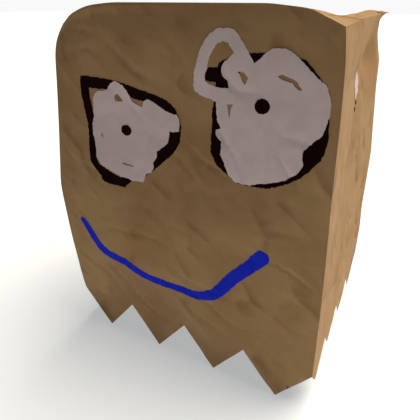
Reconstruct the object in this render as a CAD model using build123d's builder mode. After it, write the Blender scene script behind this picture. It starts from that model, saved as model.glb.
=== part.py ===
from build123d import *
import os

# Paper bag puppet: a block-bottomed kraft paper bag stood on its zigzag-cut mouth, with a face
# drawn on its front panel. The bag is one folded sheet, so every crease is a living hinge and
# every panel between creases is a piece of its own. Millimetres, +Z up, the face towards -Y,
# origin in the middle of the footprint at the level of the longest tooth tips.

# Driving sizes of the bag
bag_width = 130.0  # across the front panel, and across the back panel
bag_depth = 110.0  # from the outside of the front panel to the outside of the back panel
bag_rack = 12.0  # the tube stands racked: its back panel is this far to -X of the front one
wall_height = 138.4  # from the valleys of the cut mouth up to the crown
sheet = 0.3  # thickness of the kraft sheet
crease_gap = 0.1  # room at each upright corner crease for the paper to turn

# The zigzag cut round the mouth
panel_teeth = 4  # on the front and on the back panel
panel_tooth = 18.6  # depth of those teeth, which the bag stands on
panel_tip = 0.52  # where a tooth's tip lies, as a share of its width from the left
gusset_teeth = 2  # on each half of a gusset
gusset_tooth = 11.6  # depth of those teeth, which hang clear of the floor
gusset_tip = 0.39  # where a tooth's tip lies, as a share of its width from the front

# Glued laps and the block bottom, which is the crown of the head here
paste = 0.1  # thickness of a line of paste
seam_width = 14.0  # overlap of the long seam down the back panel
seam_place = 28.0  # from the left edge of the back panel to the seam
crown_lap_width = 20.0  # overlap of the back flap over the front flap
crown_paste_width = 12.0  # line of paste under that overlap
ear_reach = 3.0  # how far the pinched corner of the crown stands out sideways
ear_length = 14.0  # how much of the crown's side edge it takes

# The drawing: each layer of marker lies on the one before
ink = 0.1
eye_line = 4.0  # width of the black line round an eye
mouth_line_width = 4.2
loop_line = 5.0  # width of the white loop above the right eye
left_pupil_size = 5.2  # diameter
right_pupil_size = 6.0  # diameter

# Places that follow from the sizes above
half_width = bag_width / 2
half_depth = bag_depth / 2
valley_z = panel_tooth
crown_z = valley_z + wall_height
front_x = bag_rack / 2  # middle of the front panel
back_x = -bag_rack / 2  # middle of the back panel
flap_z = crown_z + sheet  # the flaps lie on the tucks
lap_z = flap_z + sheet + paste
face_y = half_depth  # the face's plane, measured along -Y
corner = sheet + crease_gap  # from an outside face to the axis of an upright corner crease
gusset_run = Vector(-bag_rack, bag_depth - 2 * corner, 0)  # front crease to back crease
gusset_half = gusset_run.length / 2
along = gusset_run.normalized()


def save(piece, name):
    piece.part.label = name
    export_step(piece.part, f"parts/{name}.step")


def zigzag_panel(name, start, direction, width, teeth, tooth, tip):
    """An upright panel from start along direction, its inside face on that line."""
    pitch = width / teeth
    edge = [(0, 0)]
    for tooth_number in range(teeth):
        edge.append(((tooth_number + tip) * pitch, -tooth))
        edge.append(((tooth_number + 1) * pitch, 0))
    face = Plane(start, x_dir=direction, z_dir=direction.cross(Vector(0, 0, 1)))
    with BuildPart() as panel:
        with BuildSketch(face):
            with BuildLine():
                Polyline(*edge, (width, wall_height), (0, wall_height), close=True)
            make_face()
        extrude(amount=sheet)
    save(panel, name)


def crown_piece(name, outline, height, thickness):
    """A flat piece of the crown, its underside at height."""
    with BuildPart() as piece:
        with BuildSketch(Plane.XY.offset(height)):
            with BuildLine():
                Polyline(*outline, close=True)
            make_face()
        extrude(amount=thickness)
    save(piece, name)


def rack_at(y):
    """How far the crown's middle is to +X at a depth y."""
    return -bag_rack * y / bag_depth


# Front and back panels
zigzag_panel(
    "front_panel",
    Vector(front_x - half_width, sheet - half_depth, valley_z),
    Vector(1, 0, 0),
    bag_width,
    panel_teeth,
    panel_tooth,
    panel_tip,
)
zigzag_panel(
    "back_panel",
    Vector(back_x + half_width, half_depth - sheet, valley_z),
    Vector(-1, 0, 0),
    bag_width,
    panel_teeth,
    panel_tooth,
    1 - panel_tip,
)

# Gussets: each is two halves that meet at its middle crease
right_front = Vector(front_x + half_width - corner, corner - half_depth, valley_z)
left_back = Vector(back_x - half_width + corner, half_depth - corner, valley_z)
for name, start, direction, tip in (
    ("right_gusset_front", right_front, along, gusset_tip),
    ("right_gusset_back", right_front + along * gusset_half, along, gusset_tip),
    ("left_gusset_back", left_back, -along, 1 - gusset_tip),
    ("left_gusset_front", left_back - along * gusset_half, -along, 1 - gusset_tip),
):
    zigzag_panel(name, start, direction, gusset_half, gusset_teeth, gusset_tooth, tip)

# The long seam: the sheet's free edge is pasted down the outside of the back panel
seam_left = back_x - half_width + seam_place
for name, inset, level, thickness in (
    ("seam_paste", seam_width / 4, half_depth, paste),
    ("seam_lap", 0, half_depth + paste, sheet),
):
    with BuildPart() as seam:
        with BuildSketch(Plane.XZ.offset(-level)):
            with Locations((seam_left + seam_width / 2, valley_z)):
                Rectangle(
                    seam_width - 2 * inset,
                    wall_height,
                    align=(Align.CENTER, Align.MIN),
                )
        extrude(amount=-thickness)
    save(seam, name)

# The crown: two flaps that meet on the ridge line, where the crown folds
for name, y in (("crown_front_flap", -half_depth), ("crown_back_flap", half_depth)):
    outline = [
        (rack_at(y) - half_width, y),
        (rack_at(y) + half_width, y),
        (half_width, 0),
        (-half_width, 0),
    ]
    crown_piece(name, outline, flap_z, sheet)

# The back flap's free edge, pasted over the front flap
for name, width, height, thickness in (
    ("crown_paste", crown_paste_width, flap_z + sheet, paste),
    ("crown_lap", crown_lap_width, lap_z, sheet),
):
    outline = [
        (rack_at(-width) - half_width, -width),
        (rack_at(-width) + half_width, -width),
        (half_width, 0),
        (-half_width, 0),
    ]
    crown_piece(name, outline, height, thickness)

# The tucks: the ends of the gussets, folded in under the flaps on 45 degree creases
for side, sign in (("left", -1), ("right", 1)):
    for end, y in (("front", sheet - half_depth), ("back", half_depth - sheet)):
        edge = sign * half_width
        outline = [
            (rack_at(y) + edge, y),
            (edge, 0),
            (edge - sign * abs(y), 0),
        ]
        crown_piece(f"{side}_tuck_{end}", outline, crown_z, sheet)

# The pinched corner of the block bottom, which stands out as a small ear
ear_y = half_depth - ear_length
ear_outline = [
    (rack_at(ear_y) + half_width, ear_y),
    (rack_at(half_depth) + half_width + ear_reach, half_depth),
    (rack_at(half_depth) + half_width, half_depth),
]
crown_piece("corner_ear", ear_outline, flap_z, sheet)


def drawn(level):
    """The face's plane, level layers of marker out from the paper."""
    return Plane(
        (front_x, -face_y - level * ink, 0), x_dir=(1, 0, 0), z_dir=(0, -1, 0)
    )


# The drawing on the front panel, as points across from its middle and up from the floor
left_eye = [(-47, 131), (-17, 128), (-1, 117), (-8, 101), (-27, 89), (-42, 90), (-48, 112)]
left_white = [
    (-42, 127),
    (-31, 131),
    (-14, 126),
    (0, 119),
    (-9, 104),
    (-22, 91),
    (-40, 93),
    (-45, 110),
]
right_eye = [
    (20, 138),
    (33, 146),
    (51, 142),
    (58, 127),
    (54, 110),
    (38, 101),
    (21, 106),
    (17, 122),
]
right_white = [
    (22, 136),
    (38, 147),
    (54, 141),
    (60, 128),
    (53, 112),
    (40, 101),
    (24, 102),
    (18, 118),
]
right_loop = [(14, 134), (11, 145), (20, 152), (26, 145), (29, 137)]
smile = [(-59, 62), (-45, 47), (-26, 42), (-10, 39), (13, 41), (39, 70)]

for name, route in (("left_eye_outline", left_eye), ("right_eye_outline", right_eye)):
    with BuildPart() as eye:
        with BuildSketch(drawn(0)):
            with BuildLine():
                Spline(*route, periodic=True)
            trace(line_width=eye_line)
        extrude(amount=ink)
    save(eye, name)

for name, outline in (("left_eye_white", left_white), ("right_eye_white", right_white)):
    with BuildPart() as white:
        with BuildSketch(drawn(1)):
            with BuildLine():
                Spline(*outline, periodic=True)
            make_face()
        extrude(amount=ink)
    save(white, name)

for name, centre, size in (
    ("left_pupil", (-26.3, 112.4), left_pupil_size),
    ("right_pupil", (36.1, 129.5), right_pupil_size),
):
    with BuildPart() as pupil:
        with BuildSketch(drawn(2)):
            with Locations(centre):
                Circle(size / 2)
        extrude(amount=ink)
    save(pupil, name)

for name, route, width, level in (
    ("right_eye_loop", right_loop, loop_line, 2),
    ("mouth_line", smile, mouth_line_width, 0),
):
    with BuildPart() as stroke:
        with BuildSketch(drawn(level)):
            with BuildLine():
                Spline(*route)
            trace(line_width=width)
        extrude(amount=ink)
    save(stroke, name)

# Stray touches of the markers on the right gusset, just behind its middle crease
crease_face = Plane(
    right_front + along * gusset_half + along.cross(Vector(0, 0, 1)) * sheet,
    x_dir=along,
    z_dir=along.cross(Vector(0, 0, 1)),
)
white_touch = [(2.5, 104), (5.5, 115), (2.8, 120)]
black_touches = [(2.6, 101.5), (2.4, 97.0)]
with BuildPart() as side_white_mark:
    with BuildSketch(crease_face):
        with BuildLine():
            Polyline(*white_touch, close=True)
        make_face()
    extrude(amount=ink)
save(side_white_mark, "side_white_mark")
with BuildPart() as side_black_marks:
    with BuildSketch(crease_face):
        with Locations(*black_touches):
            Ellipse(0.5, 1.6)
    extrude(amount=ink)
save(side_black_marks, "side_black_marks")
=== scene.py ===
import math
import random
from bisect import bisect_right

import bpy
import numpy as np
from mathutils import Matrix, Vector, kdtree, noise
from mathutils.geometry import delaunay_2d_cdt


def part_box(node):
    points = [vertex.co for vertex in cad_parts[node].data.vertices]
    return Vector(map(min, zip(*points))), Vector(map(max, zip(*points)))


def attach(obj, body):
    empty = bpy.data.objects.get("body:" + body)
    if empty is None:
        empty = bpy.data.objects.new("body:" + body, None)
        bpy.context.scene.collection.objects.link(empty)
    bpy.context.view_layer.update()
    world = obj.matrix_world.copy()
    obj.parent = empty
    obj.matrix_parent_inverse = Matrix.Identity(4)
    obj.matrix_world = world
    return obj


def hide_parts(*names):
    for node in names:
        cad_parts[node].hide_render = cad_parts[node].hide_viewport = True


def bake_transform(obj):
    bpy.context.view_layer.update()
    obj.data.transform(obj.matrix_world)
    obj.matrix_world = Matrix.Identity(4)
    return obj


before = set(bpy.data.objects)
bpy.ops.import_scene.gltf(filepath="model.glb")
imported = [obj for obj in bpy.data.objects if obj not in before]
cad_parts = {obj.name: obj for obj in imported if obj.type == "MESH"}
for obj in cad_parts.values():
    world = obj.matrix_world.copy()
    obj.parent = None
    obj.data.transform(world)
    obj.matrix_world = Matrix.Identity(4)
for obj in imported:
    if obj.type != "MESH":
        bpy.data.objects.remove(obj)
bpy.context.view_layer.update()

# Paper bag puppet: a block-bottomed kraft bag stood on its cut mouth, a marker face on its front.
# Every sheet is laid out flat in millimetres, cut there, and then carried on to the bag's walls.

print("frame loaded, walls next")


# A node's lowest and highest corners at rest, in mm, from the frame
def boxOf(node):
    return [[round(value * 1000, 2) for value in corner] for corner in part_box(node)]


frontLow, frontHigh = boxOf("front_panel")
backLow, backHigh = boxOf("back_panel")
seamLow, seamHigh = boxOf("seam_lap")
seamPasteLow, seamPasteHigh = boxOf("seam_paste")
lineLow, lineHigh = boxOf("left_eye_outline")
bag = {
    "width": frontHigh[0] - frontLow[0],  # across the front
    "depth": backHigh[1] - frontLow[1],  # front to back
    "rack": frontLow[0] - backLow[0],  # how far the back stands to the left of the front
    "valley": seamLow[2],  # height of the valleys between the cut teeth
    "crown": frontHigh[2],  # height of the crown's creases
    "paper": round(backHigh[1] - backLow[1], 2),  # thickness of the sheet
    "ink": round(lineHigh[1] - lineLow[1], 2),  # thickness of a layer of marker
    "mesh": 1.5,  # spacing of the mesh that carries the crumples
}
halfWidth = bag["width"] / 2
halfDepth = bag["depth"] / 2
shift = bag["rack"] / 2  # the front's middle is this far to the right, the back's to the left
mm = 0.001


# A smooth run through given rows: where, then the values there. It doesn't overshoot between rows.
def softCurve(rows):
    places = [row[0] for row in rows]
    runs = []
    for column in range(1, len(rows[0])):
        values = [row[column] for row in rows]
        steps = [
            (values[i + 1] - values[i]) / (places[i + 1] - places[i]) for i in range(len(rows) - 1)
        ]
        slopes = [steps[0]]
        for before, after in zip(steps, steps[1:]):
            slopes.append(0.0 if before * after <= 0 else 2 * before * after / (before + after))
        slopes.append(steps[-1])
        runs.append((values, slopes))

    def valueAt(place):
        place = min(max(place, places[0]), places[-1])
        i = min(bisect_right(places, place), len(places) - 1) - 1
        span = places[i + 1] - places[i]
        t = (place - places[i]) / span
        rise = t * t * (3 - 2 * t)
        found = []
        for values, slopes in runs:
            bend = t * (1 - t) * (1 - t) * slopes[i] - t * t * (1 - t) * slopes[i + 1]
            found.append(values[i] * (1 - rise) + values[i + 1] * rise + bend * span)
        return found

    return valueAt


def smooth(low, high, value):
    t = min(max((value - low) / (high - low), 0.0), 1.0)
    return t * t * (3 - 2 * t)


def mixed(a, b, share):
    return [p * (1 - share) + q * share for p, q in zip(a, b)]


# How far the creased edges stand off the true box, in mm: to +X, to the back, up
edges = {
    # height, x, back, up
    "frontLeft": softCurve([
        (18.6, 0.2, 0.0, 0.0),
        (25, -0.3, -0.8, 0.0),
        (40, -0.9, -2.2, 0.0),
        (54, -1.3, -3.5, 0.0),
        (67, -1.5, -4.4, 0.0),
        (80, -1.7, -5.0, 0.0),
        (94, -1.2, -3.8, 0.0),
        (106, -0.8, -2.5, 0.0),
        (118, -0.4, -1.3, 0.0),
        (129, 0.0, -0.3, 0.0),
        (140, 0.6, 0.4, 0.0),
        (147, 1.3, 1.4, -1.0),
        (152, 2.2, 2.8, -2.2),
        (157, 3.0, 5.0, -3.5),
    ]),
    "frontRight": softCurve([
        (18.6, 0.2, 0.0, 0.0),
        (42, 0.2, 0.0, 0.0),
        (64, 0.0, 0.0, 0.0),
        (85, -0.5, 0.0, 0.0),
        (105, -1.0, 0.0, 0.0),
        (126, -1.3, 0.0, 0.0),
        (144, -1.9, 0.0, 0.0),
        (151, -2.5, 0.0, -0.6),
        (157, -3.2, 0.0, -1.3),
    ]),
    "backRight": softCurve([
        (18.6, 1.4, 0.0, 0.0),
        (24, 2.1, 0.0, 0.0),
        (38, 2.3, 0.0, 0.0),
        (54, 1.7, 0.0, 0.0),
        (69, 1.9, 0.0, 0.0),
        (84, 2.0, 0.0, 0.0),
        (97, 1.1, 0.0, 0.0),
        (110, 0.2, 0.0, 0.0),
        (123, -0.7, 0.0, 0.0),
        (134, -1.1, 0.0, 0.0),
        (141, -2.6, 0.0, 0.0),
        (149, -3.9, 0.0, 0.0),
        (154, -3.7, 0.0, 0.0),
        (157, -1.1, 0.0, 0.1),
    ]),
    "backLeft": softCurve([
        (18.6, 0.0, 0.0, 0.0),
        (45, -1.0, 1.2, 0.0),
        (80, -1.8, 2.2, 0.0),
        (115, -0.8, 1.2, 0.0),
        (140, 0.4, -0.4, 0.0),
        (150, 1.4, -1.4, -1.0),
        (157, 2.4, -3.0, -2.4),
    ]),
    # across from the middle, x, back, up
    "frontRim": softCurve([
        (-65, 3.0, 5.0, -3.5),
        (-55, 2.2, 2.4, 1.0),
        (-40, 0.6, 0.6, 4.2),
        (-25, 0.0, 0.0, 5.1),
        (35, 0.0, 0.0, 5.0),
        (44, -0.1, 0.0, 4.3),
        (50, -0.2, 0.0, 3.6),
        (57, -1.0, 0.0, 1.2),
        (65, -3.2, 0.0, -1.3),
    ]),
    "ridge": softCurve([
        (-65, 0.1, 0.0, 0.0),
        (-40, 0.0, 0.0, 0.6),
        (0, 0.0, 0.0, 1.6),
        (30, 0.0, 0.0, 2.4),
        (40, 0.0, 0.0, 2.2),
        (46, -0.3, 0.0, -0.4),
        (55, -1.5, 0.0, -0.5),
        (65, -3.0, 0.0, -0.3),
    ]),
    "backRim": softCurve([
        (-65, 2.4, -3.0, -2.4),
        (-52, 1.0, -1.0, -0.6),
        (-20, 0.0, 0.0, -0.4),
        (20, 0.0, 0.0, -1.0),
        (37, 0.0, 0.0, -2.0),
        (47, 0.0, 0.0, -1.0),
        (56, -0.3, 0.0, 1.3),
        (61, -0.8, 0.0, 0.9),
        (65, -1.3, 0.0, 0.1),
    ]),
    # height, where the right middle crease runs (from the middle, to the back), how deep it is pressed
    "dent": softCurve([
        (18.6, -27.5, 0.0),
        (40, -19.0, 1.2),
        (64, -10.0, 2.7),
        (97, -2.0, 3.9),
        (119, 0.0, 4.2),
        (134, 0.0, 5.6),
        (140, 0.0, 4.5),
        (151, 0.0, 3.3),
        (157, 0.0, 3.0),
    ]),
}
dentTop = 134.0  # where the pressed-in crease is deepest
earFold = 149.0  # where the back edge is pinched in below the ear


# The walls. Each takes a place on the flat sheet and gives the point on the bag.
def flatWall(across, height, left, right, rim, middleX, y):
    share = across / bag["width"] + 0.5
    side = mixed(left(height), right(height), share)
    top = smooth(112, bag["crown"], height)
    corner = mixed(left(bag["crown"]), right(bag["crown"]), share)
    off = [s + top * (r - c) for s, r, c in zip(side, rim(across), corner)]
    return Vector((middleX + across + off[0], y + off[1], height + off[2]))


def frontWall(across, height):
    return flatWall(
        across, height, edges["frontLeft"], edges["frontRight"], edges["frontRim"], shift, -halfDepth
    )


def backWall(across, height):
    return flatWall(
        across, height, edges["backLeft"], edges["backRight"], edges["backRim"], -shift, halfDepth
    )


# The crease through the right side's dent slants up to the pinch under the ear
def slanted(height, share):
    fold = dentTop + (earFold - dentTop) * share
    low, high, top = 96.0, fold, bag["crown"]
    if height <= low:
        return 0.0
    if height <= high:
        return (height - low) / (high - low)
    return 1 + (height - high) / (top - high)


def unslanted(amount, fold):
    low, top = 96.0, bag["crown"]
    return low + amount * (fold - low) if amount <= 1 else fold + (amount - 1) * (top - fold)


def rightWall(back, height):
    share = back / bag["depth"]
    where, depth = edges["dent"](height)
    where += halfDepth
    topDrop = -0.3 * smooth(140, bag["crown"], height)
    if back <= where:
        off = mixed(edges["frontRight"](height), (-depth, 0.0, topDrop), back / where)
    else:
        t = (back - where) / (bag["depth"] - where)
        if height > 96:
            amount = slanted(height, t)
            depth = edges["dent"](unslanted(amount, dentTop))[1]
            rear = edges["backRight"](unslanted(amount, earFold))
        else:
            rear = edges["backRight"](height)
        off = mixed((-depth, 0.0, topDrop), rear, t)
    press = 3.0 * math.exp(-(((back - 88) / 15) ** 2) - ((height - 139) / 8) ** 2)
    press *= smooth(0, 12, bag["depth"] - back)
    x = frontHigh[0] - bag["rack"] * share - press
    return Vector((x + off[0], back - halfDepth + off[1], height + off[2]))


def leftWall(back, height):
    share = back / bag["depth"]
    middle = (0.1, -0.03, 0.0)  # the open crease stays on its hinge line
    if share <= 0.5:
        off = mixed(edges["frontLeft"](height), middle, share * 2)
    else:
        off = mixed(middle, edges["backLeft"](height), share * 2 - 1)
    x = frontLow[0] - bag["rack"] * share
    return Vector((x + off[0], back - halfDepth + off[1], height + off[2]))


def crownTop(across, back):
    if back <= 0:
        share = back / halfDepth + 1
        share += (share**0.6 - share) * (1 - (across / halfWidth) ** 4)
        off = mixed(edges["frontRim"](across), edges["ridge"](across), share)
    else:
        share = back / halfDepth
        off = mixed(edges["ridge"](across), edges["backRim"](across), share)
    x = across - bag["rack"] * back / bag["depth"]
    return Vector((x + off[0], back + off[1], bag["crown"] + off[2]))


# The crumples: soft folds that lean down to the right, with small facets between them,
# in mm out of the wall
crumple = {
    "swell": 0.9,  # height of the broad waves
    "swellSize": 40.0,
    "fold": 1.9,  # height of the folds
    "foldLength": 32.0,
    "foldPitch": 13.0,
    "facet": 0.35,  # height of the small facets
    "facetSize": 8.0,
    "calm": 7.0,  # the creased edges stay straight over this width
}


def crumpleAt(u, v, sheetNumber):
    bendU = u + 8 * noise.noise(Vector((u / 31, v / 27, sheetNumber + 5.2)))
    bendV = v + 8 * noise.noise(Vector((u / 29, v / 33, sheetNumber + 8.7)))
    down = (0.9 * bendU - 0.43 * bendV) / crumple["foldLength"]
    over = (0.43 * bendU + 0.9 * bendV) / crumple["foldPitch"]
    fold = abs(noise.noise(Vector((down, over, sheetNumber))))
    patch = smooth(-0.15, 0.25, noise.noise(Vector((u / 24, v / 21, sheetNumber + 3.3))))
    swell, small = crumple["swellSize"], crumple["facetSize"]
    broad = noise.noise(Vector((u / swell, v / swell, sheetNumber + 0.5)))
    facet = abs(noise.noise(Vector((u / small, v / small, sheetNumber + 1.7))))
    return (
        broad * crumple["swell"]
        + min(fold, 0.22) * crumple["fold"] * (0.3 + patch)
        + facet * crumple["facet"]
    )


# Each wall: where it goes, which way is out, its number for the crumples, how crumpled it is,
# and where its creased edges lie across and up (the mouth's edge is free)
walls = {
    "front": (frontWall, Vector((0, -1, 0)), 1.0, 0.8, (-halfWidth, halfWidth), (None, bag["crown"])),
    "back": (backWall, Vector((0, 1, 0)), 14.0, 1.0, (-halfWidth, halfWidth), (None, bag["crown"])),
    "right": (rightWall, Vector((1, 0, 0)), 27.0, 0.4, (0.0, bag["depth"]), (None, bag["crown"])),
    "left": (leftWall, Vector((-1, 0, 0)), 39.0, 0.6, (0.0, bag["depth"]), (None, bag["crown"])),
    "crown": (crownTop, Vector((0, 0, 1)), 52.0, 0.4, (-halfWidth, halfWidth), (-halfDepth, halfDepth)),
}


def calmAt(wall, u, v):
    low, high = wall[4]
    away = min(u - low, high - u)
    if wall[5][0] is not None:
        away = min(away, v - wall[5][0])
    away = min(away, wall[5][1] - v)
    if wall[0] is leftWall:
        away = min(away, abs(u - halfDepth))
    if wall[0] is crownTop:
        away = min(away, abs(v))
    return smooth(0.0, crumple["calm"], away)


def onWall(name, u, v):
    wall = walls[name]
    return wall[0](u, v) + wall[1] * (crumpleAt(u, v, wall[2]) * wall[3] * calmAt(wall, u, v))


def wallPoint(name, u, v):
    here = onWall(name, u, v)
    alongU = onWall(name, u + 0.35, v) - here
    alongV = onWall(name, u, v + 0.35) - here
    out = alongU.cross(alongV).normalized()
    return here, out if out.dot(walls[name][1]) > 0 else -out


# Flat cutting. Loops are closed runs of points on the flat sheet.
def refined(loop, step):
    points = []
    for a, b in zip(loop, loop[1:] + loop[:1]):
        count = max(1, round(math.dist(a, b) / step))
        points += [tuple(p + (q - p) * i / count for p, q in zip(a, b)) for i in range(count)]
    return points


def inside(points, loops):
    points = np.asarray(points, float)
    odd = np.zeros(len(points), bool)
    for loop in loops:
        for (x0, y0), (x1, y1) in zip(loop, loop[1:] + loop[:1]):
            if y0 == y1:
                continue
            crosses = (points[:, 1] < y0) != (points[:, 1] < y1)
            at = x0 + (points[:, 1] - y0) * (x1 - x0) / (y1 - y0)
            odd ^= crosses & (points[:, 0] < at)
    return odd


# Triangles over an outline, with the loops in cuts followed exactly
def cutSheet(outline, spacing, cuts=(), seed=1):
    dice = random.Random(seed)
    outline = refined(outline, spacing)
    loops = [outline] + [list(cut) for cut in cuts]
    points = [p for loop in loops for p in loop]
    tree = kdtree.KDTree(len(points))
    for i, p in enumerate(points):
        tree.insert((p[0], p[1], 0), i)
    tree.balance()
    lowU, highU = min(p[0] for p in outline), max(p[0] for p in outline)
    lowV, highV = min(p[1] for p in outline), max(p[1] for p in outline)
    field = []
    row = 0
    v = lowV
    while v < highV:
        u = lowU + (spacing / 2 if row % 2 else 0)
        while u < highU:
            p = (u + dice.uniform(-0.2, 0.2) * spacing, v + dice.uniform(-0.2, 0.2) * spacing)
            if tree.find((p[0], p[1], 0))[2] > spacing * 0.55:
                field.append(p)
            u += spacing
        v += spacing * 0.87
        row += 1
    keep = inside(field, [outline]) if field else []
    points += [p for p, kept in zip(field, keep) if kept]
    edgeList = []
    start = 0
    for loop in loops:
        edgeList += [(start + i, start + (i + 1) % len(loop)) for i in range(len(loop))]
        start += len(loop)
    made = delaunay_2d_cdt([Vector(p) for p in points], edgeList, [], 0, 1e-5)
    flat = [(p.x, p.y) for p in made[0]]
    faces = [list(face) for face in made[2]]
    middles = [[sum(flat[i][k] for i in face) / 3 for k in (0, 1)] for face in faces]
    keep = inside(middles, [outline])
    faces = [face for face, kept in zip(faces, keep) if kept]
    middles = [middle for middle, kept in zip(middles, keep) if kept]
    return flat, faces, middles


# A closed thin shell over some of a sheet's triangles, from inner to outer mm out of the wall
def shell(name, sheet, faces, inner, outer, material):
    used = sorted({i for face in faces for i in face})
    place = {i: k for k, i in enumerate(used)}
    count = len(used)
    spots = [sheet["points"][i] for i in used]
    outs = [sheet["outs"][i] for i in used]
    corners = [p + n * outer for p, n in zip(spots, outs)] + [p + n * inner for p, n in zip(spots, outs)]
    polygons, normals = [], []
    borders = {}
    for face in faces:
        a, b, c = (place[i] for i in face)
        if (spots[b] - spots[a]).cross(spots[c] - spots[a]).dot(outs[a]) < 0:
            b, c = c, b
        polygons += [(a, b, c), (c + count, b + count, a + count)]
        normals += [outs[a], outs[b], outs[c], -outs[c], -outs[b], -outs[a]]
        for edge in ((a, b), (b, c), (c, a)):
            if edge[::-1] in borders:
                del borders[edge[::-1]]
            else:
                borders[edge] = True
    for a, b in borders:
        polygons.append((b, a, a + count, b + count))
        rim = (corners[b] - corners[a]).cross(outs[a]).normalized()
        normals += [rim] * 4
    mesh = bpy.data.meshes.new(name)
    mesh.from_pydata([p * mm for p in corners], [], polygons)
    mesh.polygons.foreach_set("use_smooth", [True] * len(polygons))
    mesh.normals_split_custom_set(normals)
    mesh.materials.append(material)
    mesh.validate()
    piece = bpy.data.objects.new(name, mesh)
    bpy.context.scene.collection.objects.link(piece)
    return piece


def laidOn(wallName, outline, cuts=(), spacing=None, seed=1):
    flat, faces, middles = cutSheet(outline, spacing or bag["mesh"], cuts, seed)
    spots = [wallPoint(wallName, u, v) for u, v in flat]
    return {
        "points": [p for p, out in spots],
        "outs": [out for p, out in spots],
        "faces": faces,
        "middles": middles,
    }


def facesIn(sheet, loops):
    keep = inside(sheet["middles"], loops)
    return [face for face, kept in zip(sheet["faces"], keep) if kept]


# Colours are sRGB hex, turned to linear here
def linearColour(hexText):
    parts = [int(hexText[i : i + 2], 16) / 255 for i in (1, 3, 5)]
    return tuple(c / 12.92 if c <= 0.04045 else ((c + 0.055) / 1.055) ** 2.4 for c in parts) + (1.0,)


# Adds a node, sets its properties and inputs, and links what feeds it
def addNode(tree, kind, settings, links=None):
    node = tree.nodes.new(kind)
    for key, value in settings.items():
        if key == "stops":
            ramp = node.color_ramp
            while len(ramp.elements) < len(value):
                ramp.elements.new(0.5)
            for element, (at, colour) in zip(ramp.elements, value):
                element.position = at
                element.color = colour
        elif isinstance(key, str) and hasattr(node, key):
            setattr(node, key, value)
        else:
            node.inputs[key].default_value = value
    for key, output in (links or {}).items():
        tree.links.new(output, node.inputs[key])
    return node


def newMaterial(name):
    material = bpy.data.materials.new(name)
    material.use_nodes = True
    material.node_tree.nodes.clear()
    return material, material.node_tree


def finishMaterial(tree, shader):
    addNode(tree, "ShaderNodeOutputMaterial", {}, {"Surface": shader.outputs["BSDF"]})


# Brown kraft paper, machine finished: dull, cloudy from uneven pulp, with a faint grain of fibres;
# where it was crumpled, painted shade and painted highlight break it into facets: a browner painted shade
# below a crease, a paler painted highlight above the next
kraft = {
    "base": "#A3825A",
    "dark": "#9A764E",
    "pale": "#AA895F",
    # the brown of the painted shade in the creases
    "crease": "#83592F",
    "cloud": 30.0,  # mm across a patch of denser pulp
    "fibre": 0.7,  # mm across a bundle of fibres, drawn coarser than the real 0.03 mm so that it shows
    "fibreLength": 1.1,
    "facetLength": 34.0,  # mm along the flat facets between creases, which lean down to the right
    "facetWidth": 10.0,  # mm across them
    "facetLean": (0.0, 30.0, -16.8),  # degrees
    "facetSoft": 0.25,  # how soft the step from one facet to the next is
    "paintedFacetShade": (0.87, 1.13),  # painted shade below a crease, painted highlight above the next
    "paintedCreaseShadeDepth": 0.5,  # how strong the brown painted shade is in the crease itself
    "patch": 19.0,  # mm across the places that were crumpled
    "patchRange": (0.46, 0.66),  # where in the noise those places start and are full
    "calm": 0.06,  # how creased the paper is elsewhere
    "wander": 14.0,  # mm over which a crease wanders
    "wanderBy": 4.0,  # how far, in mm
    "acrossFacet": (0.25, 0.75, 0.6),  # the way in which a facet's shade runs
    "creaseBump": 0.35,  # mm
    "fibreBump": 0.05,
    "roughness": 0.88,
    "ior": 1.45,
}


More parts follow.
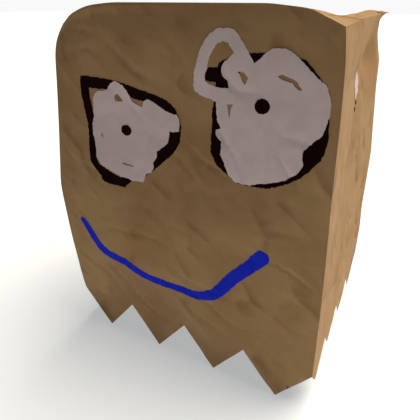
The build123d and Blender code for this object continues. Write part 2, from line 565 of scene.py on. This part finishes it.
def kraftPaper():
    material, tree = newMaterial("kraftPaperMachineFinished")
    place = addNode(tree, "ShaderNodeTexCoord", {})
    grainPlace = addNode(
        tree,
        "ShaderNodeMapping",
        {
            "vector_type": "TEXTURE",
            "Scale": (kraft["fibre"] * mm, kraft["fibre"] * mm, kraft["fibreLength"] * mm),
        },
        {"Vector": place.outputs["Object"]},
    )
    fibres = addNode(
        tree,
        "ShaderNodeTexNoise",
        {"Scale": 1.0, "Detail": 3.0, "Roughness": 0.6},
        {"Vector": grainPlace.outputs["Vector"]},
    )
    cloud = addNode(
        tree,
        "ShaderNodeTexNoise",
        {"Scale": 1 / (kraft["cloud"] * mm), "Detail": 5.0, "Roughness": 0.55, "Distortion": 0.6},
        {"Vector": place.outputs["Object"]},
    )
    cloudColour = addNode(
        tree,
        "ShaderNodeValToRGB",
        {
            "stops": [
                (0.3, linearColour(kraft["dark"])),
                (0.52, linearColour(kraft["base"])),
                (0.75, linearColour(kraft["pale"])),
            ]
        },
        {"Fac": cloud.outputs["Fac"]},
    )
    fibreShade = addNode(
        tree,
        "ShaderNodeMapRange",
        {"From Min": 0.3, "From Max": 0.7, "To Min": 0.975, "To Max": 1.02},
        {"Value": fibres.outputs["Fac"]},
    )
    fibred = addNode(
        tree,
        "ShaderNodeVectorMath",
        {"operation": "SCALE"},
        {0: cloudColour.outputs["Color"], "Scale": fibreShade.outputs["Result"]},
    )
    # the facets' edges stay straight, but wander a little along their length
    wander = addNode(
        tree,
        "ShaderNodeTexNoise",
        {"Scale": 1 / (kraft["wander"] * mm), "Detail": 1.0},
        {"Vector": place.outputs["Object"]},
    )
    wandered = addNode(
        tree,
        "ShaderNodeVectorMath",
        {"operation": "MULTIPLY_ADD", 1: (kraft["wanderBy"] * mm,) * 3},
        {0: wander.outputs["Color"], 2: place.outputs["Object"]},
    )
    facetPlace = addNode(
        tree,
        "ShaderNodeMapping",
        {
            "vector_type": "TEXTURE",
            "Rotation": tuple(math.radians(a) for a in kraft["facetLean"]),
            "Scale": (kraft["facetLength"] * mm, kraft["facetWidth"] * mm, kraft["facetWidth"] * mm),
        },
        {"Vector": wandered.outputs["Vector"]},
    )
    facetCell = addNode(
        tree,
        "ShaderNodeTexVoronoi",
        {"feature": "SMOOTH_F1", "Scale": 1.0, "Smoothness": kraft["facetSoft"]},
        {"Vector": facetPlace.outputs["Vector"]},
    )
    # where a place lies across its own facet: the jump from one facet to the next is the crease
    fromCentre = addNode(
        tree,
        "ShaderNodeVectorMath",
        {"operation": "SUBTRACT"},
        {0: facetPlace.outputs["Vector"], 1: facetCell.outputs["Position"]},
    )
    across = addNode(
        tree,
        "ShaderNodeVectorMath",
        {"operation": "DOT_PRODUCT", 1: kraft["acrossFacet"]},
        {0: fromCentre.outputs["Vector"]},
    )
    patches = addNode(
        tree,
        "ShaderNodeTexNoise",
        {"Scale": 1 / (kraft["patch"] * mm), "Detail": 2.0},
        {"Vector": place.outputs["Object"]},
    )
    # where the crumples lie: this mask places both the painted facet shade and the crease bump
    crumplePatchShadeAndBump = addNode(
        tree,
        "ShaderNodeMapRange",
        {
            "From Min": kraft["patchRange"][0],
            "From Max": kraft["patchRange"][1],
            "To Min": kraft["calm"],
            "To Max": 1.0,
        },
        {"Value": patches.outputs["Fac"]},
    )
    # the gradient across a facet: it sets the facet's painted shade and highlight, and the bump height
    facetShadeAndBumpHeight = addNode(
        tree,
        "ShaderNodeMath",
        {"operation": "MULTIPLY"},
        {0: across.outputs["Value"], 1: crumplePatchShadeAndBump.outputs["Result"]},
    )
    # painted shade and painted highlight: each facet is coloured darker on one side and paler on the other,
    # as light would fall on a tilted facet
    paintedFacetShade = addNode(
        tree,
        "ShaderNodeMapRange",
        {
            "From Min": -0.5,
            "From Max": 0.5,
            "To Min": kraft["paintedFacetShade"][0],
            "To Max": kraft["paintedFacetShade"][1],
        },
        {"Value": facetShadeAndBumpHeight.outputs[0]},
    )
    paintedFacetShaded = addNode(
        tree,
        "ShaderNodeVectorMath",
        {"operation": "SCALE"},
        {0: fibred.outputs[0], "Scale": paintedFacetShade.outputs["Result"]},
    )
    # brown painted shade on the dark side of each facet, in the crease
    paintedCreaseShadeMask = addNode(
        tree,
        "ShaderNodeMapRange",
        {"From Min": -0.1, "From Max": -0.5, "To Min": 0.0, "To Max": kraft["paintedCreaseShadeDepth"]},
        {"Value": facetShadeAndBumpHeight.outputs[0]},
    )
    coloured = addNode(
        tree,
        "ShaderNodeMix",
        {"data_type": "RGBA", 7: linearColour(kraft["crease"])},
        {0: paintedCreaseShadeMask.outputs["Result"], 6: paintedFacetShaded.outputs[0]},
    )
    fibreBump = addNode(
        tree,
        "ShaderNodeBump",
        {"Strength": 0.3, "Distance": kraft["fibreBump"] * mm},
        {"Height": fibres.outputs["Fac"]},
    )
    creaseBump = addNode(
        tree,
        "ShaderNodeBump",
        {"Strength": 0.25, "Distance": kraft["creaseBump"] * mm},
        {"Height": facetShadeAndBumpHeight.outputs[0], "Normal": fibreBump.outputs["Normal"]},
    )
    shader = addNode(
        tree,
        "ShaderNodeBsdfPrincipled",
        {"Roughness": kraft["roughness"], "IOR": kraft["ior"], "Specular IOR Level": 0.25},
        {"Base Color": coloured.outputs[2], "Normal": creaseBump.outputs["Normal"]},
    )
    finishMaterial(tree, shader)
    return material


# Marker and paint-pen lines: ink that has soaked in or dried in streaks, a little uneven in depth
def inkFinish(name, deep, thin, streak, roughness, specular):
    material, tree = newMaterial(name)
    place = addNode(tree, "ShaderNodeTexCoord", {})
    streaks = addNode(
        tree,
        "ShaderNodeTexNoise",
        {"Scale": 1 / (streak * mm), "Detail": 3.0, "Roughness": 0.6, "Distortion": 0.4},
        {"Vector": place.outputs["Object"]},
    )
    depth = addNode(
        tree,
        "ShaderNodeValToRGB",
        {"stops": [(0.35, linearColour(deep)), (0.7, linearColour(thin))]},
        {"Fac": streaks.outputs["Fac"]},
    )
    grain = addNode(
        tree,
        "ShaderNodeTexNoise",
        {"Scale": 1 / (0.6 * mm), "Detail": 2.0},
        {"Vector": place.outputs["Object"]},
    )
    bump = addNode(
        tree,
        "ShaderNodeBump",
        {"Strength": 0.25, "Distance": 0.04 * mm},
        {"Height": grain.outputs["Fac"]},
    )
    shader = addNode(
        tree,
        "ShaderNodeBsdfPrincipled",
        {"Roughness": roughness, "IOR": 1.45, "Specular IOR Level": specular},
        {"Base Color": depth.outputs["Color"], "Normal": bump.outputs["Normal"]},
    )
    finishMaterial(tree, shader)
    return material


kraftMade = kraftPaper()
# felt marker, soaked into the paper: near black, quite dull
blackInk = inkFinish("blackFeltMarkerInk", "#150302", "#1F0704", 7.0, 0.9, 0.05)
# opaque white paint pen, dried matt over the black: a pinkish white, faintly cloudy
whitePaint = inkFinish("whitePaintPenDried", "#D1BEBE", "#D9C7C7", 9.0, 0.7, 0.2)
# blue felt marker, laid on thick
blueInk = inkFinish("blueFeltMarkerInk", "#1626C2", "#1D30CC", 6.0, 0.85, 0.1)
# starch paste, dried: dull amber
pasteDry = inkFinish("starchPasteDried", "#B89A68", "#C7AC7E", 4.0, 0.6, 0.3)
print("materials made")

# The cut mouth: evenly spaced teeth, leaning a little
teeth = {
    "wide": (bag["width"] / 4, 0.52, bag["valley"]),  # pitch, share of the pitch at the tip, depth
    "side": (bag["depth"] / 4, 0.39, round(bag["valley"] - boxOf("right_gusset_front")[0][2], 2)),
}


def mouthRun(kind, start, low, high):
    pitch, lean, depth = teeth[kind]
    knots = []
    for i in range(4):
        knots += [(start + i * pitch, bag["valley"]), (start + (i + lean) * pitch, bag["valley"] - depth)]
    knots.append((start + 4 * pitch, bag["valley"]))
    run = [knot for knot in knots if low < knot[0] < high]
    for end in (low, high):
        for a, b in zip(knots, knots[1:]):
            if a[0] <= end <= b[0]:
                height = a[1] + (b[1] - a[1]) * (end - a[0]) / (b[0] - a[0])
                run.append((end, height))
                break
    return sorted(run)


def wallOutline(kind, start, low, high):
    return mouthRun(kind, start, low, high) + [(high, bag["crown"]), (low, bag["crown"])]


# The face: loops and lines on the front, in mm across from its middle and up from the floor
drawing = {
    "leftBlack": [
        [
            (-48, 131), (-46, 131.2), (-33.5, 130.5), (-26, 130), (-20, 129), (-14.5, 128),
            (-8.5, 127), (-4, 126), (-1, 124.5), (1, 122.5), (2.5, 120), (3, 117), (2.5, 112),
            (1, 108.5), (-2, 105), (-5.5, 102), (-10.5, 97.5), (-17.5, 92.5), (-22, 91), (-26, 87),
            (-36.5, 87.5), (-38.5, 88.8), (-38.7, 90), (-42.5, 93), (-45, 96.5), (-45.7, 102.5),
            (-46.5, 113), (-48, 120), (-49, 125), (-48.8, 129.5),
        ],
        [
            (-44, 127), (-33.5, 127), (-27.5, 126), (-21.5, 125.3), (-18.5, 124.8), (-15, 124.5),
            (-13, 125), (-8.5, 123.5), (-3, 121.5), (-0.5, 120.5), (-1.5, 117), (-2.5, 114.5),
            (-3.5, 110.5), (-8.5, 106.5), (-9, 104), (-11, 99), (-17.5, 96), (-25, 92.3),
            (-28.5, 91.3), (-31.5, 92), (-34.5, 93), (-40, 95.5), (-41.5, 98.5), (-42.2, 104),
            (-43, 109), (-43.7, 113.5), (-42.7, 116.5), (-44, 123),
        ],
    ],
    "leftWhite": [
        [
            (-42, 123.5), (-40.7, 125.2), (-38.5, 126.2), (-33.5, 127), (-31, 129.2), (-28, 130.2),
            (-24.5, 129), (-22, 127), (-21, 125), (-20, 123.7), (-17.5, 123), (-15.5, 122.5),
            (-14.5, 124.5), (-12, 125.5), (-8, 124), (-4.5, 122.5), (-1.5, 121.7), (1, 121.5),
            (2.5, 120), (2, 115.5), (-2.5, 115), (-3, 110.5), (-8.5, 106), (-8.5, 103.7),
            (-10.5, 101.2), (-10, 99.5), (-11.5, 96.5), (-14.5, 95.3), (-15.5, 91.5), (-21.5, 91),
            (-25, 91.7), (-28, 91.7), (-31, 92.7), (-34.5, 93.7), (-39, 95.7), (-41.3, 98.7),
            (-42, 103.7), (-43.5, 109), (-43.7, 113.5), (-42.7, 116.5), (-42.5, 120),
        ],
        [(-29.7, 125), (-27.8, 126), (-25.3, 123.7), (-29.5, 123)],
        [(-39, 110), (-38.2, 110), (-37.5, 107.8), (-38.6, 108.5)],
        [(-27, 98.3), (-21, 97.9), (-21.3, 97.4), (-27, 97.6)],
    ],
    "rightBlack": [
        [
            (18, 127.5), (17.2, 125), (17, 117), (17, 110), (19.5, 105.5), (25.5, 101), (29, 99.3),
            (35.5, 99.2), (41.5, 99.8), (47.2, 102.1), (52.5, 105.3), (55.8, 108.5), (59.8, 113.5),
            (61, 116.5), (61.6, 120.5), (61.5, 124), (61, 128), (60, 133), (58.7, 136.5),
            (55.7, 138.8), (51.5, 141.3), (50, 142), (46, 142.3), (41.5, 142.5), (35.5, 142),
            (30.5, 141.7), (26, 140.5), (22, 139.5), (19.5, 138.5), (19, 137.2), (15.5, 137),
            (14, 135), (14, 133), (18.5, 133), (18.5, 131.5), (18.5, 130),
        ],
        [
            (24, 130), (27, 136), (31.5, 138), (42, 139), (51.5, 137), (55.5, 134), (57, 127.5),
            (55.5, 121), (51, 114), (46.5, 107), (38, 103.5), (29, 103.5), (24.5, 109), (24, 118),
            (22.5, 123),
        ],
    ],
    "rightWhite": [
        [
            (25.5, 141.5), (23.5, 140), (21.5, 138.5), (20.5, 137.3), (21, 135), (23.3, 133.5),
            (24, 131.7), (20, 130.5), (18.7, 127.5), (19.5, 122), (21, 119), (19, 118.5),
            (19, 116.7), (21.5, 114.3), (21.3, 109.5), (23, 106.5), (25, 102), (27.5, 99.7),
            (34, 99.3), (35.5, 100.3), (42, 102), (48, 104.3), (51.7, 107), (54, 110.5),
            (53.5, 112.5), (53.5, 116), (56.5, 119), (59.5, 122), (60, 124), (61.2, 128.5),
            (61.2, 132), (60.3, 134.5), (59, 137), (55.5, 138.3), (52.5, 139.5), (50, 141),
            (46.5, 143), (43, 144), (39, 143.5), (37, 142.5), (35.5, 141), (33, 139), (31, 141.5),
            (29, 143), (26.5, 142.5),
        ],
        [(27.2, 136.5), (29.3, 136.5), (31, 135), (30, 133), (28.7, 134.5)],
        [(41.5, 136.7), (43.5, 137.2), (48, 136), (50.5, 133.8), (49, 133.5), (46.5, 135.3), (42.5, 136)],
        [(23.5, 127), (26, 127.2), (25, 125.5), (24.5, 122.8), (24, 124.5)],
    ],
    "rightLoop": [
        [
            (9, 131), (9.3, 134), (10, 137), (11.5, 140.7), (13.5, 144), (16, 146.7), (19, 148.5),
            (24, 148.7), (26.3, 147), (29, 144), (31, 141.5), (31.5, 140.5), (26.5, 137),
            (26.5, 131.5), (24.5, 128.3), (18.5, 127.5), (17, 127.7), (12, 128.7), (9.5, 130),
        ],
        [
            (15, 137), (15.7, 140), (18, 143.3), (20.5, 144.6), (23, 144), (25.5, 141.5),
            (23.5, 140), (21.5, 138.5), (20.5, 137.3), (21, 135), (23.3, 133.5), (24, 131.7),
            (18.5, 131.5), (14.2, 133), (14, 134.7),
        ],
    ],
    "leftPupil": (-24.6, 112.8, 2.7, 2.2),  # across, up, half width, half height
    "rightPupil": (37.0, 127.6, 2.8, 2.2),
    # the mouth's middle line: across, up, width
    "mouth": [
        (-53.7, 64.3, 3.4), (-51.5, 61, 3.9), (-48.5, 55.5, 4.6), (-45.5, 50.9, 4.8),
        (-40, 47.8, 4.4), (-32, 46.6, 4.2), (-25.5, 43.7, 4.2), (-16, 41, 4.1), (-7, 40.5, 3.8),
        (0, 40.4, 3.9), (7.5, 40, 4.4), (17, 43.5, 5.1), (21, 47.5, 5.5), (27, 55.5, 5.6),
        (34, 63, 5.6), (40, 69.7, 6.5),
    ],
}


# A pen's edge wavers a little and feathers into the paper
def penEdge(loop, seed, waver=0.19, step=0.8):
    dice = random.Random(seed)
    return [
        (u + dice.uniform(-waver, waver), v + dice.uniform(-waver, waver)) for u, v in refined(loop, step)
    ]


def strokeLoop(rows):
    path = softCurve([(float(i), *row) for i, row in enumerate(rows)])
    left, right = [], []
    steps = (len(rows) - 1) * 6
    for i in range(steps + 1):
        t = i * (len(rows) - 1) / steps
        u, v, width = path(t)
        ahead, behind = path(t + 0.05), path(t - 0.05)
        du, dv = ahead[0] - behind[0], ahead[1] - behind[1]
        size = math.hypot(du, dv)
        du, dv = du / size * width / 2, dv / size * width / 2
        left.append((u - dv, v + du))
        right.append((u + dv, v - du))
    turn = [(i + 1) * math.pi / 9 for i in range(8)]
    u, v = rows[-1][0], rows[-1][1]
    endCap = [
        (u + du * math.sin(a) - dv * math.cos(a), v + dv * math.sin(a) + du * math.cos(a)) for a in turn
    ]
    startU, startV, width = rows[0]
    ahead = path(0.05)
    du, dv = ahead[0] - startU, ahead[1] - startV
    size = math.hypot(du, dv)
    du, dv = du / size * width / 2, dv / size * width / 2
    startCap = [
        (startU - du * math.sin(a) + dv * math.cos(a), startV - dv * math.sin(a) - du * math.cos(a))
        for a in turn
    ]
    return left + endCap + right[::-1] + startCap


def roundLoop(u, v, halfU, halfV):
    return [
        (u + halfU * math.cos(i * math.tau / 28), v + halfV * math.sin(i * math.tau / 28))
        for i in range(28)
    ]


inkLoops = {name: [penEdge(loop, 40 + i) for i, loop in enumerate(drawing[name])] for name in (
    "leftBlack", "leftWhite", "rightBlack", "rightWhite", "rightLoop"
)}
inkLoops["mouth"] = [penEdge(strokeLoop(drawing["mouth"]), 60, waver=0.24, step=0.8)]
inkLoops["leftPupil"] = [penEdge(roundLoop(*drawing["leftPupil"]), 61, waver=0.12, step=0.6)]
inkLoops["rightPupil"] = [penEdge(roundLoop(*drawing["rightPupil"]), 62, waver=0.12, step=0.6)]

# Front panel with its drawing, cut together so that the ink follows every crumple
frontSheet = laidOn(
    "front",
    wallOutline("wide", -halfWidth, -halfWidth, halfWidth),
    [loop for loops in inkLoops.values() for loop in loops],
    seed=3,
)
frontPiece = shell("frontPaper", frontSheet, frontSheet["faces"], -bag["paper"], 0.0, kraftMade)
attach(frontPiece, "front")
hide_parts("front_panel")
for name, node, loopName, low, high, finish, slot in (
    ("leftEyeLine", "left_eye_outline", "leftBlack", 0.0, 1.0, blackInk, "black_marker"),
    ("rightEyeLine", "right_eye_outline", "rightBlack", 0.0, 1.0, blackInk, "black_marker"),
    ("leftEyePaint", "left_eye_white", "leftWhite", 0.0, 2.0, whitePaint, "white_paint_pen"),
    ("rightEyePaint", "right_eye_white", "rightWhite", 0.0, 2.0, whitePaint, "white_paint_pen"),
    ("rightEyeLoopPaint", "right_eye_loop", "rightLoop", 0.0, 2.05, whitePaint, "white_paint_pen"),
    ("leftPupilInk", "left_pupil", "leftPupil", 2.0, 3.0, blackInk, "black_marker"),
    ("rightPupilInk", "right_pupil", "rightPupil", 2.0, 3.0, blackInk, "black_marker"),
    ("mouthInk", "mouth_line", "mouth", 0.0, 1.0, blueInk, "blue_marker"),
):
    faces = facesIn(frontSheet, inkLoops[loopName])
    ink = shell(name, frontSheet, faces, low * bag["ink"], high * bag["ink"], finish)
    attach(ink, "front")
    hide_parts(node)
print("front and its drawing made")

# Back panel and the long seam
backSheet = laidOn("back", wallOutline("wide", -halfWidth, -halfWidth, halfWidth), seed=5)
backPiece = shell("backPaper", backSheet, backSheet["faces"], -bag["paper"], 0.0, kraftMade)
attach(backPiece, "back")
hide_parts("back_panel")

seam = {
    "left": seamLow[0] + shift,  # across from the back's middle
    "right": seamHigh[0] + shift,
    "inset": seamPasteLow[0] - seamLow[0],  # how far the paste stays in from the lap's edges
    "paste": round(seamPasteHigh[1] - seamPasteLow[1], 2),
}


def strip(name, wallName, outline, inner, outer, finish, body, node, seed):
    laid = laidOn(wallName, outline, spacing=2.0, seed=seed)
    piece = shell(name, laid, laid["faces"], inner, outer, finish)
    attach(piece, body)
    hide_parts(node)
    return piece


def upright(left, right):
    return [(left, bag["valley"]), (right, bag["valley"]), (right, bag["crown"]), (left, bag["crown"])]


strip(
    "seamPaste", "back", upright(seam["left"] + seam["inset"], seam["right"] - seam["inset"]),
    0.0, seam["paste"], pasteDry, "back", "seam_paste", 6,
)
strip(
    "seamLap", "back", upright(seam["left"], seam["right"]),
    seam["paste"], seam["paste"] + bag["paper"], kraftMade, "back", "seam_lap", 7,
)
print("back made")

# Side gussets, in pieces laid on the side walls
gusset = {
    "hold": 1.0,  # how far from a right corner crease the paper still moves with the panel
    "turn": 11.0,  # where it has turned fully on to the gusset
    "middleTurn": 9.0,  # the same each side of the right middle crease
    "join": 14.0,  # where one piece ends and the next begins
    "leftFront": (5.5, 16.0),  # where the left gusset starts and ends its turn, from the front
    "leftBack": (14.0, 4.0),  # the same from the back
}
middle = halfDepth
gussetPieces = (
    (
        "rightGussetFrontStrip", "right", 0.0, gusset["join"],
        "front", "right_front_gusset", gusset["hold"], gusset["turn"],
    ),
    (
        "rightGussetMiddle", "right", gusset["join"], bag["depth"] - gusset["join"],
        "right_front_gusset", "right_back_gusset",
        middle - gusset["middleTurn"], middle + gusset["middleTurn"],
    ),
    (
        "rightGussetBackStrip", "right", bag["depth"] - gusset["join"], bag["depth"],
        "right_back_gusset", "back", bag["depth"] - gusset["turn"], bag["depth"] - gusset["hold"],
    ),
    (
        "leftGussetFront", "left", 0.0, middle,
        "front", "left_front_gusset", *gusset["leftFront"],
    ),
    (
        "leftGussetBack", "left", middle, bag["depth"],
        "left_back_gusset", "back",
        bag["depth"] - gusset["leftBack"][0], bag["depth"] - gusset["leftBack"][1],
    ),
)
standsFor = {
    "rightGussetFrontStrip": ("right_gusset_front",),
    "rightGussetMiddle": ("right_gusset_front", "right_gusset_back"),
    "rightGussetBackStrip": ("right_gusset_back",),
    "leftGussetFront": ("left_gusset_front",),
    "leftGussetBack": ("left_gusset_back",),
}


def bendOver(piece):
    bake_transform(piece)


# stray touches of the pens on the right side, just behind its middle crease:
# mm back from the front, and up
sideTouches = {
    "white": [
        [
            (55.6, 136.5), (57.5, 135), (60.5, 133.5), (62.5, 130.5), (60.5, 127), (58, 125),
            (56, 123), (56, 130),
        ],
    ],
    "black": [
        [(56, 123.7), (58.5, 123.3), (58, 122), (56, 121.7)],
        [(55.5, 121), (57.3, 120.5), (57, 118.5), (55.7, 119.2)],
    ],
}
touchLoops = {
    name: [penEdge(loop, 80 + i, waver=0.3, step=0.8) for i, loop in enumerate(loops)]
    for name, loops in sideTouches.items()
}
for number, (name, wallName, low, high, bodyA, bodyB, start, end) in enumerate(gussetPieces):
    cuts = touchLoops["white"] + touchLoops["black"] if name == "rightGussetMiddle" else []
    laid = laidOn(wallName, wallOutline("side", 0.0, low, high), cuts, seed=20 + number)
    piece = shell(name, laid, laid["faces"], -bag["paper"], 0.0, kraftMade)
    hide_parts(*standsFor[name])
    bendOver(piece)
    if cuts:
        for inkName, node, loopName, finish, slot in (
            ("sideWhiteTouch", "side_white_mark", "white", whitePaint, "white_paint_pen"),
            ("sideBlackTouches", "side_black_marks", "black", blackInk, "black_marker"),
        ):
            ink = shell(inkName, laid, facesIn(laid, touchLoops[loopName]), 0.0, bag["ink"], finish)
            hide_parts(node)
            bendOver(ink)
print("gussets made")

# The crown: two flaps that meet on the ridge, the pasted lap, and the tucks folded in under them
crown = {
    "lap": -boxOf("crown_lap")[0][1],  # how far the back flap reaches over the front, from the ridge
    "pasteFrom": 16.0,
    "pasteTo": 4.0,
    "hold": 6.0,  # how far from its crease a flap still moves with the wall
    "turn": 17.0,  # where it has turned fully on to the crown
    "tuckInset": 1.0,  # how far a tuck stays in from the crown's end
    "tuckShort": 7.0,  # how far it stops short of the wall's crease
    "tuckRidge": 2.5,  # and of the ridge, so that the folded tucks clear each other
}


def crownSheet(name, outline, inner, outer, finish, body, nodes, seed, panel=None):
    laid = laidOn("crown", outline, seed=seed)
    piece = shell(name, laid, laid["faces"], inner, outer, finish)
    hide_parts(*nodes)
    if panel is None:
        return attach(piece, body)
    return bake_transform(piece)


def crownBand(low, high):
    return [(-halfWidth, low), (halfWidth, low), (halfWidth, high), (-halfWidth, high)]


paper = bag["paper"]
crownSheet("crownFront", crownBand(-halfDepth, 0.0), -paper, 0.0, kraftMade, "crown_front",
           ("crown_front_flap",), 31, "front")
crownSheet("crownBack", crownBand(0.0, halfDepth), -paper, 0.0, kraftMade, "crown_back",
           ("crown_back_flap",), 32, "back")
crownSheet("crownPaste", crownBand(-crown["pasteFrom"], -crown["pasteTo"]), 0.0, 0.02, pasteDry,
           "crown_front", ("crown_paste",), 33)
crownSheet("crownLap", crownBand(-crown["lap"], 0.0), 0.02, 0.12, kraftMade, "crown_front",
           ("crown_lap",), 34)
for side, sign in (("left", -1), ("right", 1)):
    for end, way in (("front", -1), ("back", 1)):
        edge = sign * (halfWidth - crown["tuckInset"])
        reach = halfDepth - crown["tuckShort"]
        ridge = crown["tuckRidge"]
        outline = [(edge, way * reach), (edge, way * ridge), (edge - sign * (reach - ridge), way * ridge)]
        crownSheet(f"{side}Tuck{end.capitalize()}", outline, -2 * paper - 0.06, -paper - 0.06, kraftMade,
                   f"crown_{end}", (f"{side}_tuck_{end}",), 35)
earOutline = [
    (halfWidth - 3, 40.0),
    (halfWidth + 0.2, 40.0),
    (halfWidth + 1.2, halfDepth),
    (halfWidth - 3, halfDepth),
]
crownSheet("cornerEar", earOutline, 0.02, 0.02 + paper, kraftMade, "crown_back",
           ("corner_ear",), 41, "back")
print("crown made")

# Floor, lights and camera
studio = {
    "floor": ("#C4C6C8", "#C6C8CA"),
    "glow": (0.94, 0.98, 1.0, 0.42),  # the table is a lit sheet of opal acrylic: colour and strength
    "front": -0.30,  # the table the bag stands on ends here, out of the camera's sight
    "reach": 6.0,
    "key": (0.25, 0.40, 0.88),  # towards the light
    "keyStrength": 5.0,
    "keyAngle": 55.0,  # degrees across: a wide soft source
    "keyColour": "#FFF5E6",
    "world": 0.10,
}
bpy.ops.mesh.primitive_grid_add(x_subdivisions=8, y_subdivisions=8, size=2.0)
floor = bpy.context.object
floor.name = "floor"
for vertex in floor.data.vertices:
    vertex.co.x *= studio["reach"]
    vertex.co.y = studio["front"] + (vertex.co.y + 1) / 2 * (studio["reach"] - studio["front"])
floorFinish, floorTree = newMaterial("floorMattPaint")
floorPlace = addNode(floorTree, "ShaderNodeTexCoord", {})
floorCloud = addNode(
    floorTree, "ShaderNodeTexNoise", {"Scale": 3.0, "Detail": 2.0}, {"Vector": floorPlace.outputs["Object"]}
)
floorColour = addNode(
    floorTree,
    "ShaderNodeValToRGB",
    {"stops": [(0.3, linearColour(studio["floor"][0])), (0.7, linearColour(studio["floor"][1]))]},
    {"Fac": floorCloud.outputs["Fac"]},
)
finishMaterial(
    floorTree,
    addNode(
        floorTree,
        "ShaderNodeBsdfPrincipled",
        {
            "Roughness": 0.95,
            "Specular IOR Level": 0.1,
            "Emission Color": studio["glow"][:3] + (1.0,),
            "Emission Strength": studio["glow"][3],
        },
        {"Base Color": floorColour.outputs["Color"]},
    ),
)
floor.data.materials.append(floorFinish)


keyLight = bpy.data.lights.new("keyLight", "SUN")
keyLight.energy = studio["keyStrength"]
keyLight.angle = math.radians(studio["keyAngle"])
keyLight.color = linearColour(studio["keyColour"])[:3]
keyObject = bpy.data.objects.new("keyLight", keyLight)
keyObject.rotation_euler = (-Vector(studio["key"])).to_track_quat("-Z", "Y").to_euler()
bpy.context.scene.collection.objects.link(keyObject)

world = bpy.data.worlds.new("studioAir")
world.use_nodes = True
worldTree = world.node_tree
worldTree.nodes.clear()
ray = addNode(worldTree, "ShaderNodeLightPath", {})
strength = addNode(
    worldTree,
    "ShaderNodeMapRange",
    {"To Min": studio["world"], "To Max": 0.95},
    {"Value": ray.outputs["Is Camera Ray"]},
)
air = addNode(
    worldTree,
    "ShaderNodeBackground",
    {"Color": (1, 1, 1, 1)},
    {"Strength": strength.outputs["Result"]},
)
addNode(worldTree, "ShaderNodeOutputWorld", {}, {"Surface": air.outputs["Background"]})
bpy.context.scene.world = world

camera = bpy.data.cameras.new("camera")
camera.sensor_width = 36.0
camera.lens = 38.39
camera.clip_start = 0.01
cameraObject = bpy.data.objects.new("camera", camera)
cameraObject.location = (0.1058, -0.1987, 0.1629)
cameraObject.rotation_euler = (math.radians(64.86), 0.0, math.radians(30.53))
bpy.context.scene.collection.objects.link(cameraObject)
bpy.context.scene.camera = cameraObject
bpy.context.scene.view_settings.view_transform = "Standard"

print("scene ready")
